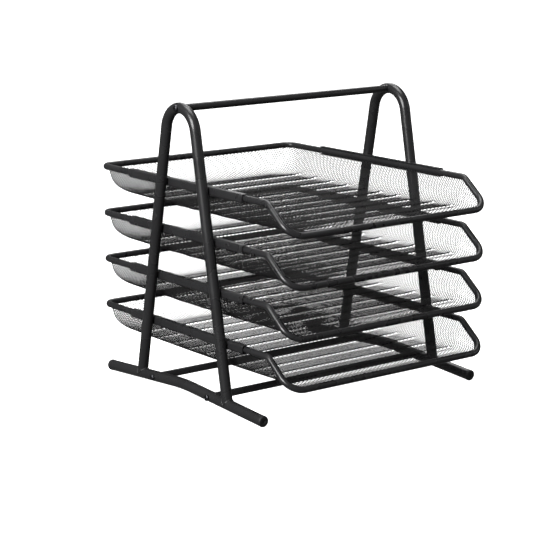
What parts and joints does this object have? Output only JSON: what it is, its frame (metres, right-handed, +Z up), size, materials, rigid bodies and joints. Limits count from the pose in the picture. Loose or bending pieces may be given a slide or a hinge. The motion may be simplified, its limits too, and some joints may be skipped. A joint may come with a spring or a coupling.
{
  "type": "letter tray",
  "caption": "Tiered desk letter tray: black mesh trays with round rims slide in channel rails between two arched tube side frames on long feet.",
  "frame": {"origin": "on the desk, under the middle of the whole object's bounding box", "axes": "+X to the user's right across the trays, +Y to the back along the trays, +Z up"},
  "size_m": [0.3108, 0.3562, 0.324],
  "materials": {
    "frame": "satin black powder coat",
    "mesh": "satin black powder coat on expanded steel",
    "plug": "moulded black polyethylene",
    "screw": "black zinc plate",
    "insert": "as turned"
  },
  "bodies": {
    "stand": {"left_hoop": "frame", "right_hoop": "frame", "left_foot": "frame", "right_foot": "frame", "left_front_foot_plug": "plug", "left_rear_foot_plug": "plug", "right_front_foot_plug": "plug", "right_rear_foot_plug": "plug", "front_cross_bar": "frame", "rear_cross_bar": "frame", "handle_bar": "frame", "front_bar_inserts": "insert", "rear_bar_inserts": "insert", "handle_bar_inserts": "insert", "cross_bar_screws": "screw", "handle_screws": "screw", "left_rail_1": "frame", "left_rail_2": "frame", "left_rail_3": "frame", "left_rail_4": "frame", "right_rail_1": "frame", "right_rail_2": "frame", "right_rail_3": "frame", "right_rail_4": "frame"},
    "tray_1": {"tray_1_rim": "frame", "tray_1_basket": "mesh"},
    "tray_2": {"tray_2_rim": "frame", "tray_2_basket": "mesh"},
    "tray_3": {"tray_3_rim": "frame", "tray_3_basket": "mesh"},
    "tray_4": {"tray_4_rim": "frame", "tray_4_basket": "mesh"}
  },
  "joints": [
    {"name": "tray_1_slide", "type": "slide", "parent": "stand", "child": "tray_1", "axis": [0, -1, 0], "range_m": [-0.03, 0.15]},
    {"name": "tray_2_slide", "type": "slide", "parent": "stand", "child": "tray_2", "axis": [0, -1, 0], "range_m": [-0.03, 0.15]},
    {"name": "tray_3_slide", "type": "slide", "parent": "stand", "child": "tray_3", "axis": [0, -1, 0], "range_m": [-0.03, 0.15]},
    {"name": "tray_4_slide", "type": "slide", "parent": "stand", "child": "tray_4", "axis": [0, -1, 0], "range_m": [-0.03, 0.15]}
  ]
}
